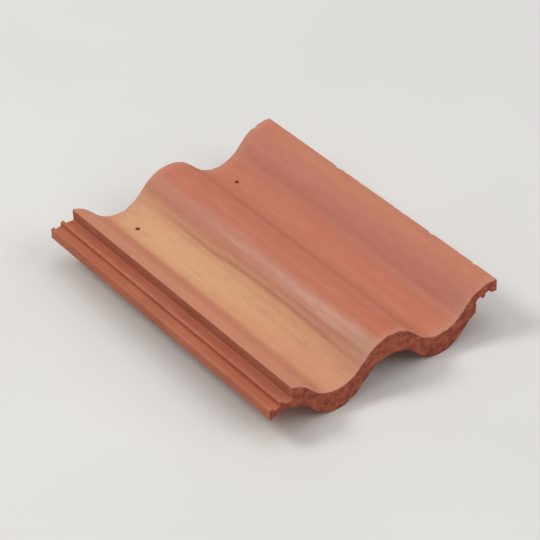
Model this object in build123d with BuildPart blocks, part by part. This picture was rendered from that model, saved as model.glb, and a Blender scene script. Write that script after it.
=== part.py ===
"""Double-roll interlocking clay roof tile, moulded in one piece.

Millimetres. +X runs across the slope, to the right as seen from the eaves. +Y runs up the
slope, from the nose to the head. +Z is up, out of the roof. The tile lies on a level floor
on its nose lip and its two nibs, and the origin is the middle of its footprint.
"""

import os
from math import cos, radians, sin

from build123d import *

# Overall sizes
tile_length = 420.0
roll_pitch = 150.0
roll_count = 2
side_lap = 30.0
cover_width = roll_count * roll_pitch
tile_width = cover_width + side_lap

# Wave of rolls and pans that the top face follows
roll_rise = 37.5
flank_angle = 46.0
crest_share = 0.52
wall = 12.0

# Nose lip, which rests on the top faces of the course below
nose_depth = 28.0
lip_length = 16.0
lip_taper = 11.0
nose_round = 2.5
head_round = 1.5

# Side lock: the right edge laps over the left edge of the next tile
edge_past_crest = 9.0
joint_gap = 1.5
overlock_skin = 11.0
lock_clearance = 1.0
lock_rib_depth = 5.0
lock_rib_width = 5.0
inner_channel = 9.0
rib_gap = 2.0
underlock_depth = 26.0
lock_wall_width = 9.0
lock_round = 1.2
lock_root_round = 4.0
edge_round = 1.5

# Weather bars across the underside, behind the lip
bar_count = 2
bar_from_nose = 52.0
bar_spacing = 17.0
bar_width = 7.0
bar_depth = 5.0
bar_chamfer = 1.5

# Nibs that hook behind the batten, and the nail holes over it
nib_from_head = 22.0
nib_width = 40.0
nib_root = 17.0
nib_back_draft = 6.0
nib_side_draft = 2.5
nib_round = 3.0
nail_radius = 2.75
nail_from_nib = 19.0

# Points and edges closer together than this count as one
same_place = 0.01

# Worked out from the sizes above
left_edge = -tile_width / 2
right_edge = tile_width / 2
nose_y = -tile_length / 2
head_y = tile_length / 2
last_crest = right_edge - edge_past_crest
crests = [last_crest - roll_pitch * roll for roll in range(roll_count, -1, -1)]
pans = [crest + roll_pitch / 2 for crest in crests[:-1]]
crest_z = nose_depth + roll_rise
sin_flank = sin(radians(flank_angle))
cos_flank = cos(radians(flank_angle))
# One crest arc, one straight flank and one pan arc span half a pitch and the whole rise
arc_radii = (roll_pitch / 2 * sin_flank - roll_rise * cos_flank) / (1 - cos_flank)
crest_radius = arc_radii * crest_share
pan_radius = arc_radii - crest_radius

# Left edge, which steps down to pass under its neighbour
step_x = left_edge + side_lap + joint_gap
lock_wall_end = step_x + lock_wall_width
inner_rib_x = left_edge + lock_rib_width + inner_channel
inner_rib_end = inner_rib_x + lock_rib_width
rib_top_drop = overlock_skin + lock_clearance
floor_drop = rib_top_drop + lock_rib_depth

# Right edge, whose ribs hang in the grooves of the next tile's left edge
recess_x = left_edge + cover_width - joint_gap
hook_rib_x = left_edge + cover_width + lock_rib_width + rib_gap
hook_rib_end = inner_rib_x + cover_width - rib_gap
edge_rib_x = inner_rib_end + cover_width + rib_gap
rib_tip_drop = overlock_skin + lock_rib_depth

nib_front_y = head_y - nib_from_head
nib_top_z = nose_depth - wall / 2
nail_y = nib_front_y - nail_from_nib


def draw_wave(inset, drop):
    """Draws the wave in the open BuildLine and returns its two ends.

    inset moves it square to itself into the clay, and drop moves it straight down.
    """
    crest_r = crest_radius - inset
    pan_r = pan_radius + inset
    crest_centre_z = crest_z - crest_radius - drop
    pan_centre_z = nose_depth + pan_radius - drop

    def pan_arc(x):
        left = (x - pan_r * sin_flank, pan_centre_z - pan_r * cos_flank)
        bottom = (x, pan_centre_z - pan_r)
        right = (x + pan_r * sin_flank, pan_centre_z - pan_r * cos_flank)
        ThreePointArc(left, bottom, right)
        return left, right

    start, end = pan_arc(crests[0] - roll_pitch / 2)
    for crest in crests:
        left = (crest - crest_r * sin_flank, crest_centre_z + crest_r * cos_flank)
        top = (crest, crest_centre_z + crest_r)
        right = (crest + crest_r * sin_flank, crest_centre_z + crest_r * cos_flank)
        Line(end, left)
        ThreePointArc(left, top, right)
        pan_left, pan_right = pan_arc(crest + roll_pitch / 2)
        Line(right, pan_left)
        end = pan_right
    return start, end


def wave_band(x_from, x_to, upper, lower):
    """The clay between two copies of the wave, each (inset, drop), from one x to another."""
    with BuildSketch() as band:
        with BuildLine():
            upper_start, upper_end = draw_wave(*upper)
            lower_start, lower_end = draw_wave(*lower)
            Line(upper_start, lower_start)
            Line(upper_end, lower_end)
        make_face()
        with Locations(((x_from + x_to) / 2, crest_z / 2)):
            Rectangle(x_to - x_from, 4 * crest_z, mode=Mode.INTERSECT)
    return band.sketch


def across_slope(y):
    """The plane of a cross-section at y, with x across the tile and z up."""
    return Plane(origin=(0, y, 0), x_dir=(1, 0, 0), z_dir=(0, -1, 0))


def edges_along_wave(y, inset, drop):
    """The edges of the tile that run along one copy of the wave at y."""
    with BuildLine(across_slope(y)) as line:
        draw_wave(inset, drop)
    wave = line.line
    return tile.edges().filter_by(lambda edge: wave.distance_to(edge.center()) < same_place)


def edges_along_slope(x):
    """The edges of the tile that run from nose to head at x."""
    return tile.edges().filter_by(Axis.Y).filter_by_position(Axis.X, x - same_place, x + same_place)


# Pieces of the cross-section
top_sheet = wave_band(step_x, right_edge, (0, 0), (wall, 0))
lock_floor = wave_band(left_edge, lock_wall_end, (0, floor_drop), (0, underlock_depth))
lock_wall = wave_band(step_x, lock_wall_end, (0, 0), (0, underlock_depth))
outer_rib = wave_band(left_edge, left_edge + lock_rib_width, (0, rib_top_drop), (0, underlock_depth))
inner_rib = wave_band(inner_rib_x, inner_rib_end, (0, rib_top_drop), (0, underlock_depth))
overlock_recess = wave_band(recess_x, right_edge, (0, overlock_skin), (0, crest_z))
hook_rib = wave_band(hook_rib_x, hook_rib_end, (0, overlock_skin / 2), (0, rib_tip_drop))
edge_rib = wave_band(edge_rib_x, right_edge, (0, overlock_skin / 2), (0, rib_tip_drop))
lip = wave_band(step_x, recess_x, (0, wall / 2), (0, nose_depth))
lip_end = wave_band(step_x, recess_x, (0, wall / 2), (0, wall))
weather_bar = wave_band(step_x, recess_x, (wall / 2, 0), (wall + bar_depth, 0))

lock_corners = [
    left_edge,
    left_edge + lock_rib_width,
    inner_rib_x,
    inner_rib_end,
    step_x,
    recess_x,
    hook_rib_x,
    hook_rib_end,
    edge_rib_x,
]

with BuildPart() as nib:
    with BuildSketch(across_slope(0)):
        with BuildLine():
            Polyline(
                (-nib_width / 2, nib_top_z),
                (nib_width / 2, nib_top_z),
                (nib_width / 2 - nib_side_draft, 0),
                (nib_side_draft - nib_width / 2, 0),
                close=True,
            )
        make_face()
    extrude(amount=-nib_root)
    with BuildSketch(Plane.YZ):
        with BuildLine():
            Polyline(
                (0, 0),
                (nib_root - nib_back_draft, 0),
                (nib_root, nib_top_z),
                (0, nib_top_z),
                close=True,
            )
        make_face()
    extrude(amount=nib_width / 2, both=True, mode=Mode.INTERSECT)
    foot_edges = nib.faces().sort_by(Axis.Z)[0].edges()
    back_corners = nib.faces().sort_by(Axis.Y)[-1].edges().filter_by(Axis.X, reverse=True)
    fillet(foot_edges + back_corners, nib_round)

with BuildPart() as tile:
    # Rolls, pans and side locks, the same from nose to head
    with BuildSketch(across_slope(nose_y)):
        add([top_sheet, lock_floor, lock_wall, outer_rib, inner_rib])
        add(overlock_recess, mode=Mode.SUBTRACT)
        add([hook_rib, edge_rib])
    extrude(amount=-tile_length)

    # Top arrises of the nose and the head
    fillet(edges_along_wave(nose_y, 0, 0), nose_round)
    fillet(edges_along_wave(head_y, 0, 0), head_round)

    # Ribs, grooves and arrises along the side locks
    for x in lock_corners:
        fillet(edges_along_slope(x), lock_round)
    fillet(edges_along_slope(right_edge), edge_round)
    fillet(edges_along_slope(lock_wall_end).sort_by(Axis.Z)[-1], lock_root_round)

    # Nose lip, tapered on its inner side
    with BuildSketch(across_slope(nose_y)):
        add(lip)
    extrude(amount=-lip_length)
    with BuildSketch(across_slope(nose_y + lip_length)):
        add(lip)
    with BuildSketch(across_slope(nose_y + lip_length + lip_taper)):
        add(lip_end)
    loft(ruled=True)

    # Weather bars
    for bar in range(bar_count):
        bar_y = nose_y + bar_from_nose + bar * bar_spacing
        with BuildSketch(across_slope(bar_y)):
            add(weather_bar)
        extrude(amount=-bar_width)
        for bar_edge_y in (bar_y, bar_y + bar_width):
            chamfer(edges_along_wave(bar_edge_y, wall + bar_depth, 0), bar_chamfer)

    # Nibs, square to the batten in front and drafted behind
    with Locations([(pan, nib_front_y, 0) for pan in pans]):
        add(nib.part)

    # Nail holes through the pans
    with Locations([(pan, nail_y, nose_depth) for pan in pans]):
        Hole(nail_radius, depth=2 * wall)

tile.part.label = "roof_tile"
os.makedirs("parts", exist_ok=True)
export_step(tile.part, "parts/roof_tile.step")
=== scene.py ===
import math
import random

import bmesh
import bpy
from mathutils import Matrix, Vector, kdtree, noise


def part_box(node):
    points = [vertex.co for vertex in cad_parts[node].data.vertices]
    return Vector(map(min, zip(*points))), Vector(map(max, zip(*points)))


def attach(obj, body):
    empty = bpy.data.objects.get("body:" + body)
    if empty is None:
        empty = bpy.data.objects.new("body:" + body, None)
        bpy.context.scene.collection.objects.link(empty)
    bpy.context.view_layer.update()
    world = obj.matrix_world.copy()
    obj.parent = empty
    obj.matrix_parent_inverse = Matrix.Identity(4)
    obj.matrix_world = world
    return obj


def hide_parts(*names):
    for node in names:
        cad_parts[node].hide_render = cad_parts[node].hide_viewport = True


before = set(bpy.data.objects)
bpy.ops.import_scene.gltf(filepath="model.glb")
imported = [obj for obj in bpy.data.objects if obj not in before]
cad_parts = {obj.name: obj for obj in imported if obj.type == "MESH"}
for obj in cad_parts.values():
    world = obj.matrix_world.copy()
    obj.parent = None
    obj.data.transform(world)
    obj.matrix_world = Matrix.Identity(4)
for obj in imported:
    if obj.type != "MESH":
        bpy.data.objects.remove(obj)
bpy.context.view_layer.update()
low, high = (Vector(corner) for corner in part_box("roof_tile"))
print("frame loaded")

mm = 0.001
acrossTile, alongTile, upFromTile = Vector((1, 0, 0)), Vector((0, 1, 0)), Vector((0, 0, 1))

# The wave that the tile follows
wave = {
    "rollPitch": 150 * mm,
    "rollRise": 37.5 * mm,
    "flankAngle": math.radians(46),
    "crestShare": 0.52,
    "edgePastCrest": 9 * mm,
    "stepFromLeft": 31.5 * mm,
}
lastCrest = high.x - wave["edgePastCrest"]
stepX = low.x + wave["stepFromLeft"]
sinFlank = math.sin(wave["flankAngle"])
cosFlank = math.cos(wave["flankAngle"])
arcRadii = (wave["rollPitch"] / 2 * sinFlank - wave["rollRise"] * cosFlank) / (1 - cosFlank)
crestRadius = arcRadii * wave["crestShare"]
panRadius = arcRadii - crestRadius


# Height of the wave at x, moved inset square into the clay and drop straight down
def waveHeight(x, inset=0.0, drop=0.0):
    halfPitch = wave["rollPitch"] / 2
    fromCrest = abs((x - lastCrest + halfPitch) % wave["rollPitch"] - halfPitch)
    fromPan = halfPitch - fromCrest
    crestR = crestRadius - inset
    panR = panRadius + inset
    crestCentre = high.z - crestRadius - drop
    if fromCrest < crestR * sinFlank:
        return crestCentre + math.sqrt(crestR**2 - fromCrest**2)
    if fromPan < panR * sinFlank:
        return high.z - wave["rollRise"] + panRadius - drop - math.sqrt(panR**2 - fromPan**2)
    return crestCentre + crestR * cosFlank - (fromCrest - crestR * sinFlank) * sinFlank / cosFlank


# What lies between the top and the tile's other faces
depths = {
    "wall": 12 * mm,
    "weatherBar": 5 * mm,
    "nose": 28 * mm,
    "lipLength": 16.1 * mm,  # from the nose, along the tile
    "overlockSkin": 11 * mm,
    "lockClearance": 1 * mm,
    "lockRib": 5 * mm,
    "underlock": 26 * mm,
}
ribTop = depths["overlockSkin"] + depths["lockClearance"]
# Surfaces of the tile that are copies of the wave, all along it or only to one place
skins = {
    "top": {"inset": 0, "drop": 0},
    "underside": {"inset": depths["wall"], "drop": 0},
    "weatherBar": {"inset": depths["wall"] + depths["weatherBar"], "drop": 0},
    "noseLip": {"inset": 0, "drop": depths["nose"], "to": low.y + depths["lipLength"]},
    "overlockRoof": {"inset": 0, "drop": depths["overlockSkin"]},
    "underlockRibTop": {"inset": 0, "drop": ribTop},
    "overlockRibTip": {"inset": 0, "drop": depths["overlockSkin"] + depths["lockRib"]},
    "underlockFloor": {"inset": 0, "drop": ribTop + depths["lockRib"]},
    "underlockUnderside": {"inset": 0, "drop": depths["underlock"]},
}

# How finely the clay is cut up before it is made uneven
slices = {
    "weld": 0.0005 * mm,  # points nearer than this become one
    "flat": math.radians(0.2),  # facets that turn less than this become one
    "onPlane": 0.001 * mm,  # points this near to a cut are on it
    "along": 4.0 * mm,
    "atEnds": 0.8 * mm,  # the first slice at the nose and the head
    "growth": 1.35,  # and how much longer each next one is
    "endGrid": 2.4 * mm,
    "endFacing": 0.95,  # lengthways part of an end face's normal
    "endWithin": 1 * mm,  # how near to the end it lies
    "longest": 4.2 * mm,  # edges longer than this are halved
    "onWave": 0.18 * mm,  # points this near to a copy of the wave are moved onto it,
    "sameWay": 0.99,  # where the clay faces the same way
    "slopeStep": 0.01 * mm,
    "sharpFrom": math.radians(38),
}


def evenPlaces(start, end, step):
    count = max(1, round((end - start) / step))
    return [start + (end - start) * k / count for k in range(1, count)]


# Places along the tile, close together at the nose and the head
def alongPlaces():
    fromEnd = []
    place = step = slices["atEnds"]
    while place < (high.y - low.y - slices["along"]) / 2:
        fromEnd.append(place)
        step = min(step * slices["growth"], slices["along"])
        place += step
    return [low.y + place for place in fromEnd] + [high.y - place for place in fromEnd]


# Cuts the mesh, or only the faces that the test picks, square to a direction at each place
def sliceMesh(mesh, direction, places, test=None):
    for place in places:
        geometry = mesh.verts[:] + mesh.edges[:] + mesh.faces[:]
        if test is not None:
            faces = [face for face in mesh.faces if test(face)]
            edges = {edge for face in faces for edge in face.edges}
            verts = {vert for face in faces for vert in face.verts}
            geometry = list(verts) + list(edges) + faces
        bmesh.ops.bisect_plane(
            mesh, geom=geometry, dist=slices["onPlane"], plane_co=direction * place, plane_no=direction
        )


def isEndFace(face):
    y = face.calc_center_median().y
    fromEnd = min(y - low.y, high.y - y)
    return abs(face.normal.y) > slices["endFacing"] and fromEnd < slices["endWithin"]


def halveLongEdges(mesh):
    while True:
        tooLong = [edge for edge in mesh.edges if edge.calc_length() > slices["longest"]]
        if not tooLong:
            return
        bmesh.ops.subdivide_edges(mesh, edges=tooLong, cuts=1, use_grid_fill=True)


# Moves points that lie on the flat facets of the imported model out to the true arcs
def settleOnWave(mesh):
    mesh.normal_update()
    step = slices["slopeStep"]
    for vert in mesh.verts:
        offsets = []
        for skin in skins.values():
            if vert.co.y > skin.get("to", high.y):
                continue
            height = waveHeight(vert.co.x, skin["inset"], skin["drop"])
            slope = (waveHeight(vert.co.x + step, skin["inset"], skin["drop"]) - height) / step
            square = Vector((-slope, 0, 1)).normalized()
            if abs(square.dot(vert.normal)) > slices["sameWay"]:
                offsets.append(height - vert.co.z)
        nearest = min(offsets, key=abs, default=0)
        if abs(nearest) < slices["onWave"]:
            vert.co.z += nearest


# Unevenness of moulded and cut clay
clay = {
    "swellSize": 55 * mm,
    "swellDepth": 0.45 * mm,
    "dragWidth": 5 * mm,
    "dragLength": 160 * mm,
    "dragDepth": 0.16 * mm,
    "cutSize": 4.5 * mm,
    "cutDepth": 0.75 * mm,
    "cutReach": 2.5 * mm,
    "cutFacing": (0.3, 0.9),  # part of the normal at which the cut starts and is full
    "fineCut": 0.5,  # depth of the finer cut marks, beside the broad ones
    "fineCutRate": 2.3,  # and how much closer they lie
    "feet": (0.3 * mm, 3 * mm),  # true below the first height, uneven above the second
}
# The arrises that get chipped, and the way into the clay from each
arrises = {
    "nose": {"y": low.y, "drop": 0, "inwards": (0, 1, -1)},
    "noseFoot": {"y": low.y, "drop": depths["nose"], "inwards": (0, 1, 1)},
    "head": {"y": high.y, "drop": 0, "inwards": (0, -1, -1)},
    "step": {"x": stepX, "drop": 0, "inwards": (1, 0, -1)},
    "right": {"x": high.x, "drop": 0, "inwards": (-1, 0, -1)},
}
# Chips that stand out, in millimetres: at is x along the nose and head, and y along the sides
chips = [
    {"arris": "nose", "at": -118, "radius": 5, "depth": 1.6},
    {"arris": "nose", "at": 22, "radius": 5, "depth": 1.5},
    {"arris": "nose", "at": 128, "radius": 6, "depth": 1.8},
    {"arris": "noseFoot", "at": -52, "radius": 4, "depth": 1.2},
    {"arris": "noseFoot", "at": 60, "radius": 5, "depth": 1.4},
    {"arris": "head", "at": -60, "radius": 5, "depth": 1.4},
    {"arris": "head", "at": 38, "radius": 6, "depth": 1.6},
    {"arris": "head", "at": 140, "radius": 5, "depth": 1.2},
    {"arris": "step", "at": 18, "radius": 4, "depth": 0.9},
    {"arris": "right", "at": -96, "radius": 5, "depth": 1.1},
    {"arris": "right", "at": 74, "radius": 6, "depth": 1.3},
]
# Small nicks that are strewn along all the arrises, in millimetres
nicks = {"count": 40, "seed": 7, "radius": (2.5, 4.5), "depth": (0.3, 0.9)}
# How a chip fades out, in parts of its radius, and how ragged its rim is
chipRim = {"fade": (0.2, 1.1), "ragged": 0.15, "raggedSize": 2.5 * mm}
# Points closer together than the reach are made to move alike, and the closest ones as one
alike = {"reach": 1.3 * mm, "asOne": 0.05 * mm, "rounds": 6}


def arrisPlace(arris, at):
    line = arrises[arris]
    x = line.get("x", at)
    return Vector((x, line.get("y", at), waveHeight(x, drop=line["drop"])))


# Place, radius and push of each chip
def allChips():
    spots = [(chip["arris"], chip["at"] * mm, chip["radius"] * mm, chip["depth"] * mm)
             for chip in chips]
    picks = random.Random(nicks["seed"])
    for _ in range(nicks["count"]):
        arris = picks.choice(list(arrises))
        at = picks.uniform(low.y, high.y) if "x" in arrises[arris] else picks.uniform(stepX, high.x)
        radius = picks.uniform(*nicks["radius"]) * mm
        spots.append((arris, at, radius, picks.uniform(*nicks["depth"]) * mm))
    return [(arrisPlace(arris, at), radius, Vector(arrises[arris]["inwards"]).normalized() * depth)
            for arris, at, radius, depth in spots]


def smooth(value, start, end):
    share = min(1.0, max(0.0, (value - start) / (end - start)))
    return share * share * (3 - 2 * share)


# Noise from 0 to 1
def noiseShare(place):
    return noise.noise(place) * 0.5 + 0.5


# How far the clay at a point is pushed in
def unevenness(place, normal):
    swell = noiseShare(place / clay["swellSize"])
    dragGrain = (clay["dragWidth"], clay["dragLength"], clay["dragWidth"])
    drag = noiseShare(Vector([place[k] / dragGrain[k] for k in range(3)]))
    depth = swell * clay["swellDepth"] + drag * clay["dragDepth"]
    fromEnd = min(place.y - low.y, high.y - place.y)
    cutFace = smooth(abs(normal.y), *clay["cutFacing"]) * (1 - smooth(fromEnd, 0, clay["cutReach"]))
    cutPlace = place / clay["cutSize"]
    fine = clay["fineCut"] * abs(noise.noise(cutPlace * clay["fineCutRate"]))
    return depth + cutFace * (abs(noise.noise(cutPlace)) + fine) * clay["cutDepth"]


# The way that each point is pushed; the feet that the tile stands on stay flat
def pushes(mesh):
    broken = allChips()
    nearest = kdtree.KDTree(len(broken))
    for k, (place, _, _) in enumerate(broken):
        nearest.insert(place, k)
    nearest.balance()
    moves = []
    for vert in mesh.verts:
        _, k, distance = nearest.find(vert.co)
        _, radius, push = broken[k]
        fromChip = distance / radius + chipRim["ragged"] * noise.noise(vert.co / chipRim["raggedSize"])
        chipped = push * (1 - smooth(fromChip, *chipRim["fade"]))
        move = chipped - vert.normal * unevenness(vert.co, vert.normal)
        moves.append(move * smooth(vert.co.z, *clay["feet"]))
    return moves


# Gives all the points of a group the middle of their moves
def groupMoves(moves, leads):
    totals = {}
    for move, lead in zip(moves, leads):
        total, count = totals.get(lead, (Vector(), 0))
        totals[lead] = (total + move, count + 1)
    return [totals[lead][0] / totals[lead][1] for lead in leads]


# The point that leads the group of point k
def leadOf(k, leads):
    while leads[k] != k:
        k = leads[k]
    return k


# Evens out the moves of points that lie close together, so that the clay doesn't fold over
def moveAlike(mesh, moves):
    leads = list(range(len(moves)))
    near = []
    for edge in mesh.edges:
        first, second = (vert.index for vert in edge.verts)
        length = edge.calc_length()
        if length < alike["asOne"]:
            leads[leadOf(first, leads)] = leadOf(second, leads)
        elif length < alike["reach"]:
            near.append((first, second, 1 - length / alike["reach"]))
    leads = [leadOf(k, leads) for k in leads]
    moves = groupMoves(moves, leads)
    for _ in range(alike["rounds"]):
        totals = [move.copy() for move in moves]
        weights = [1.0] * len(moves)
        for first, second, weight in near:
            totals[first] += moves[second] * weight
            totals[second] += moves[first] * weight
            weights[first] += weight
            weights[second] += weight
        moves = groupMoves([total / weight for total, weight in zip(totals, weights)], leads)
    return moves


# The clay is only ever pushed inwards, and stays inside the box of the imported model
def roughen(mesh):
    mesh.normal_update()
    mesh.verts.index_update()
    for vert, move in zip(mesh.verts, moveAlike(mesh, pushes(mesh))):
        place = vert.co + move
        vert.co = [min(high[axis], max(low[axis], place[axis])) for axis in range(3)]


def makeTile():
    mesh = bmesh.new()
    mesh.from_mesh(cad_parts["roof_tile"].data)
    bmesh.ops.remove_doubles(mesh, verts=mesh.verts, dist=slices["weld"])
    bmesh.ops.dissolve_limit(mesh, angle_limit=slices["flat"], verts=mesh.verts, edges=mesh.edges)
    sliceMesh(mesh, alongTile, alongPlaces())
    sliceMesh(mesh, acrossTile, evenPlaces(low.x, high.x, slices["endGrid"]), isEndFace)
    sliceMesh(mesh, upFromTile, evenPlaces(low.z, high.z, slices["endGrid"]), isEndFace)
    halveLongEdges(mesh)
    settleOnWave(mesh)
    bmesh.ops.triangulate(mesh, faces=mesh.faces, quad_method="SHORT_EDGE")
    bmesh.ops.recalc_face_normals(mesh, faces=mesh.faces)
    roughen(mesh)
    data = bpy.data.meshes.new("roofTile")
    mesh.to_mesh(data)
    mesh.free()
    tile = bpy.data.objects.new("roofTile", data)
    bpy.context.scene.collection.objects.link(tile)
    data.shade_smooth()
    data.set_sharp_from_angle(angle=slices["sharpFrom"])
    return tile


# A colour from 0 to 255 as it looks on screen, turned into the linear one that a shader takes
def paint(colour):
    shares = [channel / 255 for channel in colour]
    linear = [share / 12.92 if share <= 0.04045 else ((share + 0.055) / 1.055) ** 2.4
              for share in shares]
    return (*linear, 1.0)


# Short calls that put together one material
class Nodes:
    def __init__(self, name):
        self.material = bpy.data.materials.new(name)
        self.material.use_nodes = True
        self.tree = self.material.node_tree
        self.tree.nodes.clear()

    def put(self, value, socket):
        if isinstance(value, bpy.types.NodeSocket):
            self.tree.links.new(value, socket)
        else:
            socket.default_value = value

    def add(self, kind, **settings):
        node = self.tree.nodes.new(kind)
        for key, value in settings.items():
            setattr(node, key, value)
        return node

    def math(self, operation, first, second=0.0):
        node = self.add("ShaderNodeMath", operation=operation)
        self.put(first, node.inputs[0])
        self.put(second, node.inputs[1])
        return node.outputs[0]

    def times(self, *values):
        result = values[0]
        for value in values[1:]:
            result = self.math("MULTIPLY", result, value)
        return result

    # Rises smoothly from one number to another while the value goes from start to end
    def ramp(self, value, start, end, atStart=0.0, atEnd=1.0):
        node = self.add("ShaderNodeMapRange", interpolation_type="SMOOTHSTEP")
        for socket, number in zip(node.inputs, (value, start, end, atStart, atEnd)):
            self.put(number, socket)
        return node.outputs["Result"]

    def mix(self, share, first, second):
        node = self.add("ShaderNodeMix", data_type="RGBA")
        self.put(share, node.inputs[0])
        self.put(first, node.inputs[6])  # 6, 7 and output 2 are the node's colours
        self.put(second, node.inputs[7])
        return node.outputs[2]

    def scale(self, vector, factor):
        node = self.add("ShaderNodeVectorMath", operation="SCALE")
        self.put(vector, node.inputs[0])
        self.put(factor, node.inputs["Scale"])
        return node.outputs[0]

    def parts(self, vector):
        node = self.add("ShaderNodeSeparateXYZ")
        self.put(vector, node.inputs[0])
        return node.outputs

    # Noise with a grain of that size, or of one size for each axis
    def noise(self, place, size, detail=3.0, roughness=0.5):
        sizes = size if isinstance(size, tuple) else (size, size, size)
        divide = self.add("ShaderNodeVectorMath", operation="DIVIDE")
        self.put(place, divide.inputs[0])
        self.put(sizes, divide.inputs[1])
        node = self.add("ShaderNodeTexNoise")
        self.put(divide.outputs[0], node.inputs["Vector"])
        node.inputs["Scale"].default_value = 1.0
        node.inputs["Detail"].default_value = detail
        node.inputs["Roughness"].default_value = roughness
        return node.outputs[0]

    # Lays washes over a colour, each stronger as its grain goes from one value to the other
    def lay(self, washes, colour, place):
        for wash in washes.values():
            grain = self.noise(place, **wash["grain"])
            share = self.ramp(grain, *wash["between"], 0.0, wash["strength"])
            colour = self.mix(share, colour, paint(wash["colour"]))
        return colour

    def bump(self, height, distance, strength, under=None):
        node = self.add("ShaderNodeBump")
        node.inputs["Distance"].default_value = distance
        node.inputs["Strength"].default_value = strength
        self.put(height, node.inputs["Height"])
        if under is not None:
            self.put(under, node.inputs["Normal"])
        return node.outputs[0]

    def finish(self, shader):
        output = self.add("ShaderNodeOutputMaterial")
        self.tree.links.new(shader.outputs[0], output.inputs["Surface"])
        return self.material


# The slurry that colours the top. Sizes and places on the clay are in millimetres
fineLines = {"size": (3.4, 380, 240), "roughness": 0.6}
clouds = {"size": (11, 30, 11), "detail": 5.0, "roughness": 0.65}
slurry = {
    "terracotta": (194, 126, 99),
    "underStreaks": {
        "brown": {
            "colour": (188, 118, 89), "grain": {"size": (30, 260, 30)},
            "between": (0.35, 0.65), "strength": 1.0,
        },
        "deepRed": {
            "colour": (192, 106, 84), "grain": {"size": (45, 90, 45)},
            "between": (0.5, 0.75), "strength": 0.5,
        },
    },
    "overStreaks": {
        "paleLines": {
            "colour": (212, 150, 124), "grain": fineLines, "between": (0.55, 0.7), "strength": 0.2,
        },
        "darkLines": {
            "colour": (170, 104, 84), "grain": fineLines, "between": (0.45, 0.3), "strength": 0.2,
        },
        "darkClouds": {
            "colour": (174, 110, 87), "grain": clouds, "between": (0.5, 0.7), "strength": 0.22,
        },
        "paleClouds": {
            "colour": (205, 140, 112), "grain": clouds, "between": (0.5, 0.3), "strength": 0.22,
        },
    },
    "facing": (0.12, 0.5),  # upward part of the normal at which the slurry starts and is full
    "stepEdge": 0.4,  # how soft its edge is at the step
}
# How far the brush strays to each side
brush = {
    "sway": 2.5,
    "swayGrain": {"size": (45, 190, 300)},
    "ragged": 1.75,
    "raggedGrain": {"size": (2.6, 110, 90), "detail": 5.0, "roughness": 0.65},
    "between": (0.2, 0.8),
    "breaks": (0.4, 0.6),  # part of the ragged grain over which a streak is broken up
}
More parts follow.
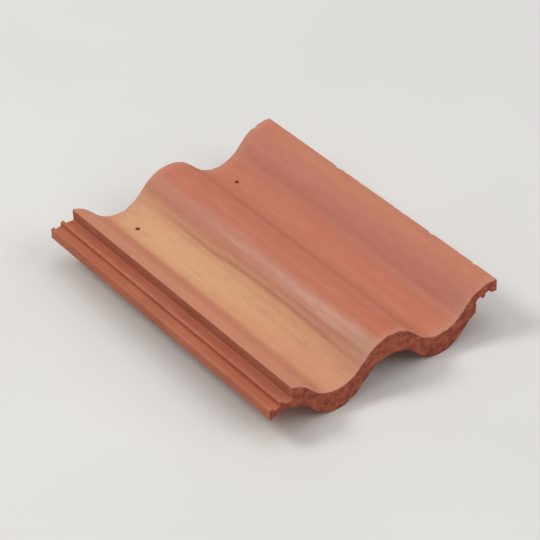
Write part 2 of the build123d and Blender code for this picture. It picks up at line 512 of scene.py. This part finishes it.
# left and right are a streak's edges in x, and from and to are its ends in y.
# broken is how far the brush breaks it up
plainStreak = {"from": -240, "to": 240, "fade": 60, "soft": (8, 8), "broken": 0.1, "strength": 0.85}
streaks = {
    "leftRoll": {"left": -140, "right": -92, "soft": (14, 14), "colour": (198, 132, 105)},
    "leftFlank": {"left": -124, "right": -98, "soft": (14, 12), "colour": (209, 142, 113)},
    "cream": {"left": -86, "right": -37, "soft": (14, 4), "colour": (210, 159, 120), "strength": 0.96},
    "creamYellow": {
        "left": -74, "right": -40, "soft": (18, 5), "from": -110, "to": 280, "fade": 170,
        "colour": (212, 166, 126),
    },
    "creamPink": {
        "left": -86, "right": -54, "soft": (14, 16), "from": -270, "to": -60, "fade": 110,
        "colour": (206, 142, 110), "strength": 0.7,
    },
    "creamTan": {
        "left": -80, "right": -68, "soft": (10, 10), "from": -150, "to": 60, "fade": 80,
        "colour": (206, 146, 108), "strength": 0.5,
    },
    "creamGreen": {
        "left": -62, "right": -46, "soft": (12, 10), "from": -40, "to": 130, "fade": 70,
        "colour": (205, 162, 114), "strength": 0.5, "broken": 0.2,
    },
    "creamEdge": {"left": -37, "right": -28, "soft": (4, 5), "colour": (199, 145, 114), "broken": 0.2},
    "creamEdgeTop": {
        "left": -42, "right": -31, "soft": (5, 7), "from": -70, "to": 300, "fade": 120,
        "colour": (209, 157, 120), "strength": 0.6,
    },
    "creamEdgeNose": {
        "left": -48, "right": -36, "soft": (12, 4), "from": -300, "to": -110, "fade": 80,
        "colour": (190, 132, 106), "strength": 0.6, "broken": 0.2,
    },
    "creamLine": {
        "left": -36.5, "right": -33.5, "soft": (2, 3), "to": 200, "fade": 120,
        "colour": (172, 120, 98), "strength": 0.75, "broken": 0.3,
    },
    "secondLine": {
        "left": -30.5, "right": -28.5, "soft": (2, 2), "from": -200, "fade": 120,
        "colour": (181, 125, 104), "strength": 0.6, "broken": 0.4,
    },
    "pink": {"left": -28, "right": -8, "soft": (6, 10), "colour": (192, 132, 112), "broken": 0.15},
    "greyHaze": {
        "left": -27, "right": -13, "soft": (7, 9), "from": -250, "to": 90, "fade": 150,
        "colour": (197, 142, 121), "strength": 0.75, "broken": 0.4,
    },
    "paleBrush": {
        "left": -26, "right": -12, "soft": (6, 5), "from": -260, "to": 10, "fade": 150,
        "colour": (206, 157, 136), "broken": 0.8,
    },
    "paleThread": {
        "left": -20, "right": -16, "soft": (3, 3), "from": -230, "to": 130, "fade": 110,
        "colour": (209, 163, 146), "strength": 0.55, "broken": 0.6,
    },
    "greyNose": {
        "left": -33, "right": -15, "soft": (8, 7), "from": -260, "to": -150, "fade": 55,
        "colour": (187, 146, 122), "strength": 0.7, "broken": 0.5,
    },
    "pinkLine": {
        "left": -13, "right": -9, "soft": (4, 4), "from": -120, "to": 200, "fade": 90,
        "colour": (184, 122, 104), "strength": 0.5, "broken": 0.3,
    },
    "red": {"left": -6, "right": 30, "soft": (14, 18), "colour": (190, 113, 91)},
    "redSpot": {
        "left": 4, "right": 19, "soft": (10, 12), "from": -235, "to": -110, "fade": 55,
        "colour": (192, 101, 82), "strength": 0.65, "broken": 0.3,
    },
    # Partly the slurry's own colour and partly painted light: made paler to offset the shade on this
    # right-facing flank
    "rightFlankPaintedFill": {"left": 26, "right": 66, "soft": (18, 14), "colour": (197, 119, 93)},
    "rightPan": {"left": 66, "right": 104, "soft": (14, 10), "colour": (193, 118, 94)},
    "warmNose": {
        "left": -6, "right": 72, "soft": (12, 12), "from": -300, "to": -130, "fade": 70,
        "colour": (191, 108, 80), "strength": 0.6, "broken": 0.2,
    },
    "panRed": {
        "left": 78, "right": 99, "soft": (10, 8), "from": -230, "to": 20, "fade": 90,
        "colour": (194, 114, 92), "strength": 0.6, "broken": 0.2,
    },
    "panTan": {
        "left": 67, "right": 77, "from": -90, "to": 230, "fade": 90,
        "colour": (198, 126, 99), "strength": 0.4, "broken": 0.2,
    },
    "mauve": {"left": 104, "right": 139, "soft": (9, 12), "colour": (191, 123, 106), "broken": 0.15},
    "mauveLine": {
        "left": 110, "right": 116, "soft": (4, 7), "fade": 100,
        "colour": (180, 115, 101), "strength": 0.7, "broken": 0.25,
    },
    "rightRoll": {"left": 139, "right": 175, "soft": (12, 6), "colour": (193, 124, 99)},
    "rollTan": {
        "left": 146, "right": 156, "from": -160, "to": 180, "fade": 90,
        "colour": (196, 130, 102), "strength": 0.6, "broken": 0.3,
    },
}


def streakMask(nodes, streak, x, y, lines):
    softLeft, softRight = (soft / 2 for soft in streak["soft"])
    left = nodes.ramp(x, streak["left"] - softLeft, streak["left"] + softLeft)
    right = nodes.ramp(x, streak["right"] + softRight, streak["right"] - softRight)
    rising = nodes.ramp(y, streak["from"], streak["from"] + streak["fade"])
    falling = nodes.ramp(y, streak["to"], streak["to"] - streak["fade"])
    whole = nodes.ramp(lines, *brush["breaks"], 1 - streak["broken"], 1.0)
    return nodes.times(left, right, rising, falling, whole, streak["strength"])


def slurryColour(nodes, place, x, y):
    colour = nodes.lay(slurry["underStreaks"], paint(slurry["terracotta"]), place)
    swayGrain = nodes.noise(place, **brush["swayGrain"])
    sway = nodes.ramp(swayGrain, *brush["between"], -brush["sway"], brush["sway"])
    lines = nodes.noise(place, **brush["raggedGrain"])
    ragged = nodes.ramp(lines, *brush["between"], -brush["ragged"], brush["ragged"])
    brushedX = nodes.math("ADD", x, nodes.math("ADD", sway, ragged))
    for streak in streaks.values():
        settings = {**plainStreak, **streak}
        mask = streakMask(nodes, settings, brushedX, y, lines)
        colour = nodes.mix(mask, colour, paint(settings["colour"]))
    return nodes.lay(slurry["overStreaks"], colour, place)


# The bare clay of the underside and the side locks
bare = {
    "red": (174, 98, 72),
    "washes": {
        "brown": {
            "colour": (188, 116, 87), "grain": {"size": (28, 80, 28), "detail": 4.0, "roughness": 0.55},
            "between": (0.3, 0.7), "strength": 0.7,
        },
        "stain": {
            "colour": (150, 82, 62), "grain": {"size": (60, 110, 60), "detail": 4.0, "roughness": 0.6},
            "between": (0.5, 0.75), "strength": 0.5,
        },
    },
}
# The cut faces of the nose and the head, with pale grains. Their dark base is partly the clay's own
# darker colour and partly painted shade of the end faces, and the dark specks are painted shade in
# small hollows
cut = {
    # darker than the bare clay, partly as painted shade on the end faces
    "dark": (134, 60, 42),
    "washes": {
        "pale": {
            "colour": (177, 94, 69), "grain": {"size": 9, "detail": 4.0, "roughness": 0.6},
            "between": (0.3, 0.7), "strength": 1.0,
        },
        "grains": {
            "colour": (210, 148, 126), "grain": {"size": 1.6, "detail": 2.0},
            "between": (0.62, 0.72), "strength": 0.6,
        },
        # Painted shade: near-black specks stand in for the shade inside small hollows of the cut face
        "pitShade": {
            "colour": (64, 27, 20), "grain": {"size": 2.6, "detail": 2.0},
            "between": (0.36, 0.28), "strength": 0.8,
        },
    },
    "facing": (0.45, 0.75),  # lengthways part of the normal at which the cut starts and is full
    "reach": (6, 4),  # distances from the end at which it starts and is full
}
# Painted highlight: the clay is painted paler towards the top arrises of the nose and the head, where
# light catches the rounded edge
arrisHighlight = {
    "colour": (205, 152, 137),
    "grain": {"size": 9, "detail": 4.0},
    "between": (0.3, 0.55),
    "strength": (0.08, 0.32),
    "reach": (16, 3),  # distances from the end at which it starts and is full
    "lengthways": (0.7, 0.3),  # and parts of the normal
    "upwards": (0.2, 0.4),
}
# How the clay feels
grit = {
    "drag": {"size": (1.8, 60, 8), "detail": 4.0, "roughness": 0.6},
    "dragDepth": 0.25 * mm,
    "dragStrength": 0.5,
    "sand": {"size": 0.8, "detail": 4.0, "roughness": 0.65},
    "lumps": {"size": 3, "detail": 4.0, "roughness": 0.65},
    "lumpHeight": 4.0,  # beside the sand's
    "sandDepth": 0.3 * mm,
    "sandStrength": 0.6,
    "dust": {"size": 1.1, "detail": 3.0, "roughness": 0.7},
    "dustShade": (0.93, 1.06),
    "between": (0.3, 0.7),
    "roughness": (0.78, 0.94),
    "specular": 0.3,
}


def makeFiredClay():
    nodes = Nodes("firedClay")
    coordinates = nodes.add("ShaderNodeTexCoord")
    place = nodes.scale(coordinates.outputs["Object"], 1 / mm)
    x, y, _ = nodes.parts(place)
    _, lengthways, upwards = nodes.parts(coordinates.outputs["Normal"])
    lengthways = nodes.math("ABSOLUTE", lengthways)
    fromNose = nodes.math("SUBTRACT", y, low.y / mm)
    fromHead = nodes.math("SUBTRACT", high.y / mm, y)
    fromEnd = nodes.math("MINIMUM", fromNose, fromHead)

    pastStep = nodes.ramp(x, stepX / mm - slurry["stepEdge"], stepX / mm + slurry["stepEdge"])
    onTop = nodes.times(nodes.ramp(upwards, *slurry["facing"]), pastStep)
    onCut = nodes.times(nodes.ramp(lengthways, *cut["facing"]), nodes.ramp(fromEnd, *cut["reach"]))
    highlightBreakup = nodes.ramp(nodes.noise(place, **arrisHighlight["grain"]), *arrisHighlight["between"], *arrisHighlight["strength"])
    offCut = nodes.ramp(lengthways, *arrisHighlight["lengthways"])
    facesUp = nodes.ramp(upwards, *arrisHighlight["upwards"])
    paintedHighlight = nodes.times(nodes.ramp(fromEnd, *arrisHighlight["reach"]), offCut, facesUp, highlightBreakup, pastStep)

    colour = nodes.lay(bare["washes"], paint(bare["red"]), place)
    colour = nodes.mix(onTop, colour, slurryColour(nodes, place, x, y))
    # The cut colour carries painted shade: a darkened end face and near-black specks in its hollows
    colour = nodes.mix(onCut, colour, nodes.lay(cut["washes"], paint(cut["dark"]), place))
    # Painted highlight along the top arrises of the nose and the head
    colour = nodes.mix(paintedHighlight, colour, paint(arrisHighlight["colour"]))
    dust = nodes.ramp(nodes.noise(place, **grit["dust"]), *grit["between"], *grit["dustShade"])
    colour = nodes.scale(colour, dust)

    drag = nodes.noise(place, **grit["drag"])
    dragBump = nodes.bump(nodes.times(drag, onTop), grit["dragDepth"], grit["dragStrength"])
    sand = nodes.noise(place, **grit["sand"])
    lumps = nodes.times(nodes.noise(place, **grit["lumps"]), onCut, grit["lumpHeight"])
    grains = nodes.math("ADD", sand, lumps)
    sandBump = nodes.bump(grains, grit["sandDepth"], grit["sandStrength"], dragBump)

    shader = nodes.add("ShaderNodeBsdfPrincipled")
    shader.inputs["Specular IOR Level"].default_value = grit["specular"]
    nodes.put(colour, shader.inputs["Base Color"])
    nodes.put(nodes.ramp(drag, *grit["between"], *grit["roughness"]), shader.inputs["Roughness"])
    nodes.put(sandBump, shader.inputs["Normal"])
    return nodes.finish(shader)


# Studio, in metres
floorPlate = {
    "size": 14.0,
    "pale": (226, 224, 220),
    "washes": {
        "clouds": {
            "colour": (222, 220, 216), "grain": {"size": 0.4}, "between": (0.3, 0.7), "strength": 1.0,
        },
    },
    "roughness": 0.9,
}
lamps = {
    "key": {"place": (-1.9, 1.7, 2.9), "size": 1.5, "power": 64},
    "fill": {"place": (1.6, -2.2, 1.9), "size": 2.6, "power": 32},
    "above": {"place": (0.3, 0.2, 3.2), "size": 2.8, "power": 28},
}
skyLight = 0.33
view = {"place": (-1.322, -1.727, 1.740), "roll": math.radians(-1.2), "lens": 158}


def makeFloor():
    bpy.ops.mesh.primitive_plane_add(size=floorPlate["size"], location=(0, 0, low.z))
    floor = bpy.context.object
    floor.name = "floor"
    nodes = Nodes("paleFloor")
    place = nodes.add("ShaderNodeTexCoord").outputs["Object"]
    shader = nodes.add("ShaderNodeBsdfPrincipled")
    shader.inputs["Roughness"].default_value = floorPlate["roughness"]
    colour = nodes.lay(floorPlate["washes"], paint(floorPlate["pale"]), place)
    nodes.put(colour, shader.inputs["Base Color"])
    floor.data.materials.append(nodes.finish(shader))


def aimAt(thing, target):
    thing.rotation_euler = (Vector(target) - thing.location).to_track_quat("-Z", "Y").to_euler()


def makeLamp(name, lamp):
    light = bpy.data.lights.new(name, "AREA")
    light.shape = "DISK"
    light.size = lamp["size"]
    light.energy = lamp["power"]
    thing = bpy.data.objects.new(name, light)
    thing.location = lamp["place"]
    bpy.context.scene.collection.objects.link(thing)
    aimAt(thing, (0, 0, 0))


def makeSky():
    world = bpy.data.worlds.new("studioSky")
    world.use_nodes = True
    background = world.node_tree.nodes["Background"]
    background.inputs["Color"].default_value = (1, 1, 1, 1)
    background.inputs["Strength"].default_value = skyLight
    bpy.context.scene.world = world


# The camera looks at the middle of the tile from the photograph's angle
def makeCamera():
    camera = bpy.data.objects.new("camera", bpy.data.cameras.new("camera"))
    camera.data.lens = view["lens"]
    camera.location = view["place"]
    bpy.context.scene.collection.objects.link(camera)
    aimAt(camera, (low + high) / 2)
    rolled = camera.rotation_euler.to_matrix() @ Matrix.Rotation(view["roll"], 3, "Z")
    camera.rotation_euler = rolled.to_euler()
    bpy.context.scene.camera = camera


tile = makeTile()
print("tile meshed,", len(tile.data.vertices), "points and", len(tile.data.polygons), "faces")
tile.data.materials.append(makeFiredClay())
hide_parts("roof_tile")
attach(tile, "root")
print("clay finished")

makeFloor()
for name, lamp in lamps.items():
    makeLamp(name, lamp)
makeSky()
makeCamera()
bpy.context.scene.view_settings.view_transform = "Standard"
print("studio set")
